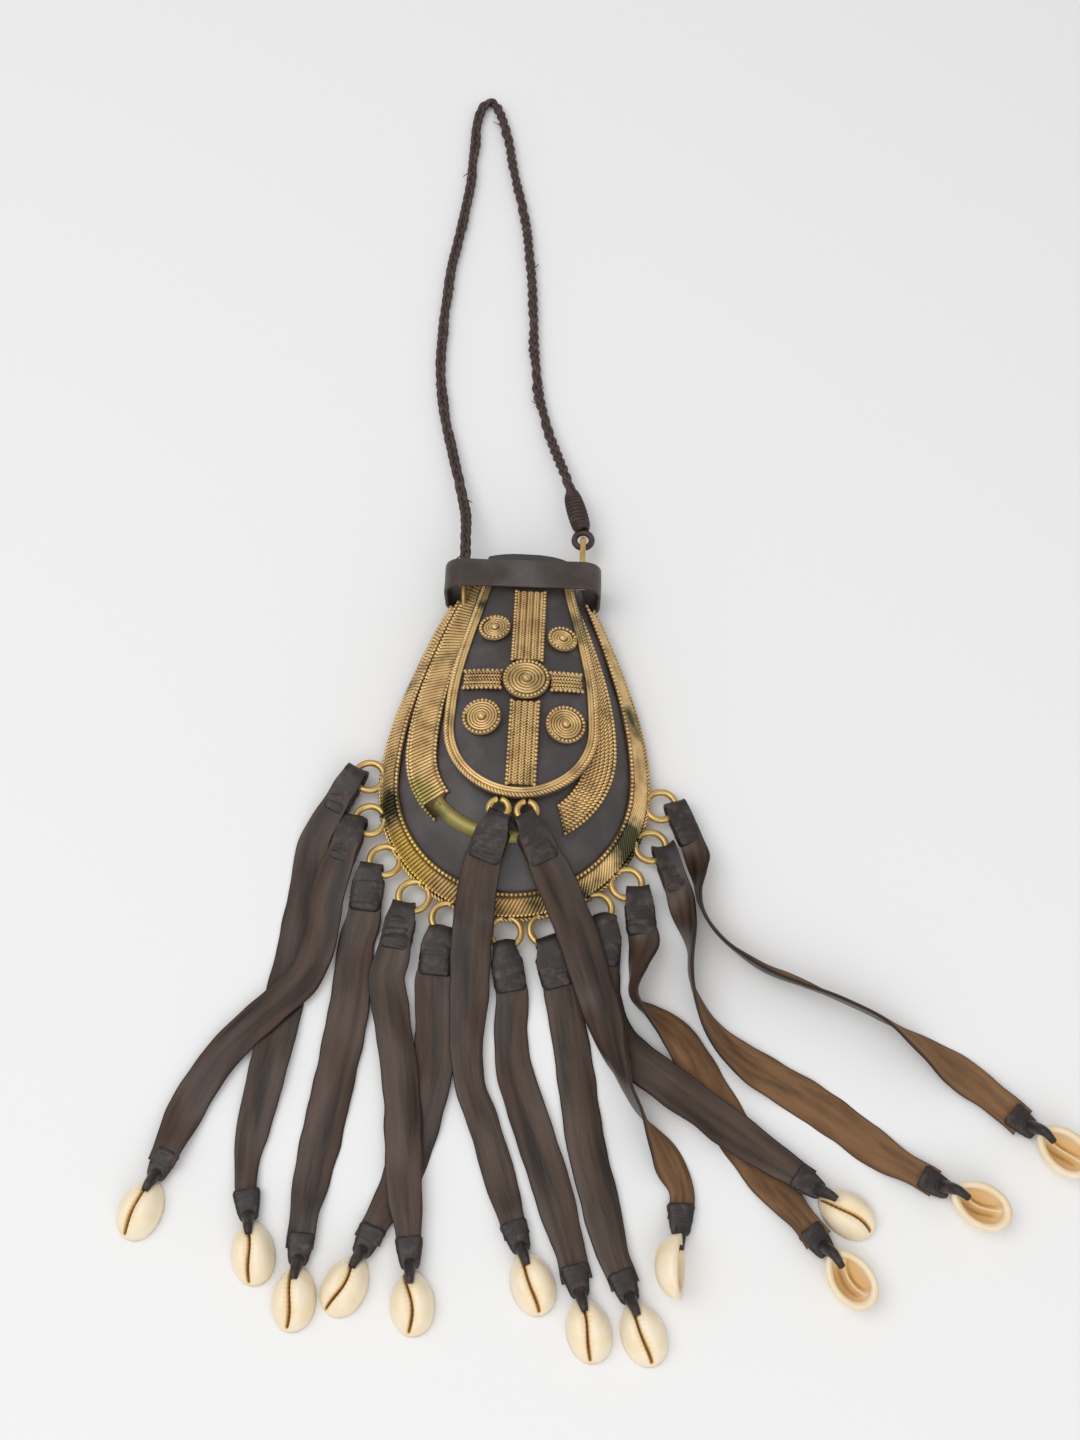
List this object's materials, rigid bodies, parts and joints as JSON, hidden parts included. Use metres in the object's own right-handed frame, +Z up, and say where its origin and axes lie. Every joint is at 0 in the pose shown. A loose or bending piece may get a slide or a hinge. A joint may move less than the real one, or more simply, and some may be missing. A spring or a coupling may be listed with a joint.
{
  "type": "tobacco pouch",
  "caption": "Pear-shaped leather tobacco pouch with brass wirework, a flap held by a sliding keeper band, a fringe of leather strips with cowries and a braided carrying strap.",
  "frame": {"origin": "on the flat back of the pouch, on the table, near the middle of the pouch without its fringe and strap", "axes": "+Z up out of the decorated front, +Y towards the neck and the strap, +X to the viewer's right"},
  "size_m": [0.3064, 0.5039, 0.0319],
  "materials": {
    "pouch_leather": "dark, rubbed and greasy",
    "keeper_leather": "dark, rubbed smooth",
    "strip_leather": "dark grain side, tan flesh side",
    "strap_leather": "dark braid",
    "antique_brass": "antique, with dark recesses and green patina",
    "loop_brass": "worn bright",
    "shell": "natural gloss"
  },
  "bodies": {
    "pouch": {"pouch_body": "pouch_leather", "flap": "pouch_leather", "edge_band": "antique_brass", "inner_band_left": "antique_brass", "inner_band_right": "antique_brass", "flap_edge_wire": "antique_brass", "cross_upper": "antique_brass", "cross_lower": "antique_brass", "cross_arm_left": "antique_brass", "cross_arm_right": "antique_brass", "centre_boss": "antique_brass", "disc_01": "antique_brass", "disc_02": "antique_brass", "disc_03": "antique_brass", "disc_04": "antique_brass", "loop_01": "loop_brass", "loop_02": "loop_brass", "loop_03": "loop_brass", "loop_04": "loop_brass", "loop_05": "loop_brass", "loop_06": "loop_brass", "loop_07": "loop_brass", "loop_08": "loop_brass", "loop_09": "loop_brass", "loop_10": "loop_brass", "loop_11": "loop_brass", "loop_12": "loop_brass", "loop_13": "loop_brass", "strip_01": "strip_leather", "strip_02": "strip_leather", "strip_03": "strip_leather", "strip_04": "strip_leather", "strip_05": "strip_leather", "strip_06": "strip_leather", "strip_07": "strip_leather", "strip_08": "strip_leather", "strip_09": "strip_leather", "strip_10": "strip_leather", "strip_11": "strip_leather", "strip_12": "strip_leather", "strip_13": "strip_leather", "cowrie_01": "shell", "cowrie_02": "shell", "cowrie_03": "shell", "cowrie_04": "shell", "cowrie_05": "shell", "cowrie_06": "shell", "cowrie_07": "shell", "cowrie_08": "shell", "cowrie_09": "shell", "cowrie_10": "shell", "cowrie_11": "shell", "cowrie_12": "shell", "cowrie_13": "shell", "strap_cord": "strap_leather", "strap_whipping": "strap_leather", "strap_eye_right": "loop_brass", "strap_eye_left": "loop_brass"},
    "keeper": {"keeper_band": "keeper_leather"}
  },
  "joints": [
    {"name": "keeper_slide", "type": "slide", "parent": "pouch", "child": "keeper", "axis": [0, 1, 0], "range_m": [0, 0.019]}
  ]
}
